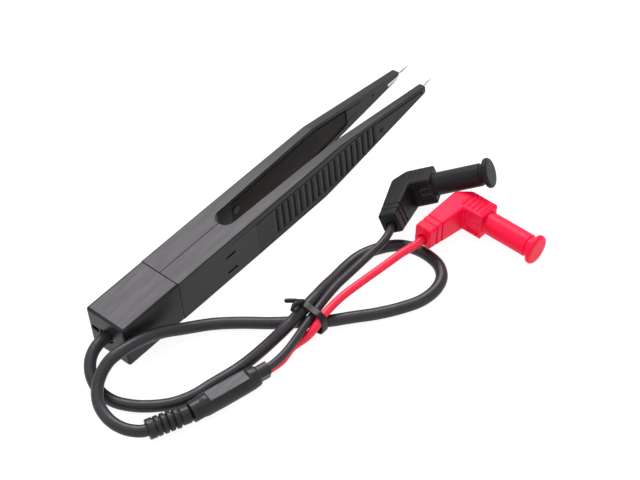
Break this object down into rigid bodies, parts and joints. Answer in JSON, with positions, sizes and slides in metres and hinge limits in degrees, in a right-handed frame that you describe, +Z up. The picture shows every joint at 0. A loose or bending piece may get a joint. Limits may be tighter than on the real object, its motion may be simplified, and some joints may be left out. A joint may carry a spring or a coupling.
{
  "type": "component test tweezer probe",
  "caption": "Black spring tweezers with needle contacts on a coiled cable, a Y splitter and two right-angle shrouded banana plugs, one black and one red.",
  "frame": {"origin": "middle of the rear cap's flat underside, on the plane the probe rests on, 13.3 mm ahead of the rear face", "axes": "+X from the rear cap to the needle tips, +Y to the left arm, +Z up"},
  "size_m": [0.1884, 0.0976, 0.023],
  "materials": {
    "housing": "satin moulded black",
    "grip": "fine matte black",
    "inner_cover": "matte brown-black",
    "cable_jacket": "satin dark grey",
    "splitter": "satin moulded black",
    "red_jacket": "satin red",
    "black_plug": "satin black",
    "red_plug": "satin red",
    "tie": "satin black",
    "contact": "nickel plated, brushed",
    "needle": "bright",
    "copper": "bare copper",
    "hardware": "blackened"
  },
  "bodies": {
    "handle": {"rear_cap": "housing", "cable_grommet": "splitter", "cable_clamp": "housing", "left_body_shell": "housing", "right_body_shell": "housing", "left_core_wire": "copper", "right_core_wire": "copper", "main_cable": "cable_jacket", "strain_relief": "splitter", "splitter_body": "splitter", "black_lead": "cable_jacket", "red_lead": "red_jacket", "twist_tie": "tie"},
    "left_arm": {"left_arm_frame": "housing", "left_grip_cover": "grip", "left_inner_cover": "inner_cover", "left_contact_blade": "contact", "left_needle": "needle", "left_cover_screw": "hardware", "left_cover_pin": "hardware"},
    "right_arm": {"right_arm_frame": "housing", "right_grip_cover": "grip", "right_inner_cover": "inner_cover", "right_contact_blade": "contact", "right_needle": "needle", "right_cover_screw": "hardware", "right_cover_pin": "hardware"},
    "black_plug": {"black_plug_body": "black_plug", "black_shroud": "black_plug", "black_pin": "contact", "black_pin_spring": "contact"},
    "black_cap": {"black_cap": "black_plug"},
    "red_plug": {"red_plug_body": "red_plug", "red_shroud": "red_plug", "red_pin": "contact", "red_pin_spring": "contact"},
    "red_cap": {"red_cap": "red_plug"}
  },
  "joints": [
    {"name": "right_arm_squeeze", "type": "hinge", "parent": "handle", "child": "right_arm", "pos_m": [0.0477, -0.0065, 0.009], "axis": [0, 0, 1], "range_deg": [0, 3.08], "stiffness_Nm_per_rad": 0.6},
    {"name": "left_arm_squeeze", "type": "hinge", "parent": "handle", "child": "left_arm", "pos_m": [0.0477, 0.0065, 0.009], "axis": [0, 0, 1], "range_deg": [-3.08, 0], "stiffness_Nm_per_rad": 0.6},
    {"name": "black_plug_flex", "type": "hinge", "parent": "handle", "child": "black_plug", "pos_m": [0.08368, -0.04338, 0.01026], "axis": [-0.0157, 0.4034, 0.9149], "range_deg": [0, 20]},
    {"name": "black_cap_pull", "type": "slide", "parent": "black_plug", "child": "black_cap", "axis": [0.4994, -0.7895, 0.3567], "range_m": [0, 0.018]},
    {"name": "red_plug_flex", "type": "hinge", "parent": "handle", "child": "red_plug", "pos_m": [0.08594, -0.05594, 0.00999], "axis": [0.1098, -0.0555, 0.9924], "range_deg": [-15, 0]},
    {"name": "red_cap_pull", "type": "slide", "parent": "red_plug", "child": "red_cap", "axis": [0.0284, -0.9979, -0.059], "range_m": [0, 0.018]}
  ],
  "couplings": [
    {"joint": "left_arm_squeeze", "follows": "right_arm_squeeze", "ratio": -1}
  ]
}
